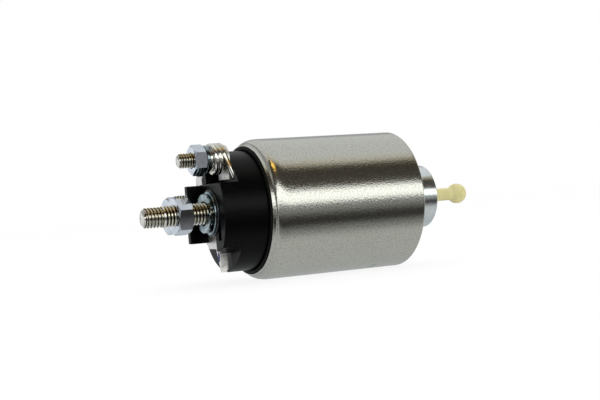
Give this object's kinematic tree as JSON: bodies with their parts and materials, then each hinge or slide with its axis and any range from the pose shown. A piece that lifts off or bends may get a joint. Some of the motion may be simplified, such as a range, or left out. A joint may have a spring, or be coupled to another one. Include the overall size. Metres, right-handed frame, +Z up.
{
  "type": "starter solenoid",
  "caption": "Starter motor solenoid: zinc-plated drawn steel case with rolled rim, black terminal cap, battery, motor and switch terminals, sprung plunger with ball-ended nylon pull pin",
  "frame": {"origin": "centre of the front mounting face, on the plunger's axis", "axes": "+X out of the mounting face along the plunger, +Z up with the switch terminal on top, battery stud on the -Y side"},
  "size_m": [0.1446, 0.054, 0.054],
  "materials": {
    "case_steel": "satin",
    "plate_steel": "satin",
    "core_steel": "satin",
    "spring_steel": "satin",
    "dark_steel": "satin",
    "black_moulding": "gloss",
    "seal_rubber": "matte",
    "yellow_nylon": "satin",
    "white_nylon": "satin",
    "insulator": "satin",
    "wrap_paper": "matte",
    "brass_tube": "satin",
    "copper": "satin",
    "winding_copper": "gloss",
    "tinned_copper": "satin"
  },
  "bodies": {
    "housing": {"case": "case_steel", "pole_plate": "plate_steel", "guide_sleeve": "brass_tube", "bobbin": "white_nylon", "pull_in_winding": "winding_copper", "hold_in_winding": "winding_copper", "winding_wrap": "wrap_paper", "core": "core_steel", "return_spring": "spring_steel", "rod_spring": "spring_steel", "chamber_gasket": "seal_rubber", "cap_seal": "seal_rubber", "cap": "black_moulding", "battery_stud": "copper", "motor_stud": "copper", "stud_seals": "seal_rubber", "battery_collar": "dark_steel", "stud_washers": "plate_steel", "stud_spring_washers": "plate_steel", "stud_nuts": "plate_steel", "motor_strap": "tinned_copper", "switch_stud": "plate_steel", "switch_plate": "tinned_copper", "switch_spring_washer": "plate_steel", "switch_nut": "plate_steel", "switch_lead": "tinned_copper", "motor_lead": "winding_copper"},
    "plunger": {"plunger": "plate_steel", "plunger_collar": "plate_steel", "jump_spring": "spring_steel"},
    "pull_pin": {"pull_pin": "yellow_nylon", "spring_seat": "plate_steel"},
    "contact_rod": {"contact_rod": "insulator", "rod_clip": "spring_steel", "contact_spring": "spring_steel"},
    "contact_disc": {"contact_disc": "copper", "front_bush": "insulator", "rear_bush": "insulator"}
  },
  "joints": [
    {"name": "plunger_slide", "type": "slide", "parent": "housing", "child": "plunger", "axis": [-1, 0, 0], "range_m": [0, 0.01], "stiffness_N_per_m": 1390, "springref_m": -0.006, "deforming": ["return_spring"]},
    {"name": "pin_slide", "type": "slide", "parent": "plunger", "child": "pull_pin", "axis": [1, 0, 0], "range_m": [0, 0.006], "stiffness_N_per_m": 1890, "springref_m": -0.006, "deforming": ["jump_spring"]},
    {"name": "contact_rod_slide", "type": "slide", "parent": "housing", "child": "contact_rod", "axis": [-1, 0, 0], "range_m": [0, 0.003], "deforming": ["rod_spring"]},
    {"name": "contact_disc_slide", "type": "slide", "parent": "housing", "child": "contact_disc", "axis": [-1, 0, 0], "range_m": [0, 0.0022], "deforming": ["contact_spring"]}
  ],
  "couplings": [
    {"joint": "contact_rod_slide", "follows": "plunger_slide", "ratio": 0.3},
    {"joint": "contact_disc_slide", "follows": "plunger_slide", "ratio": 0.22}
  ]
}
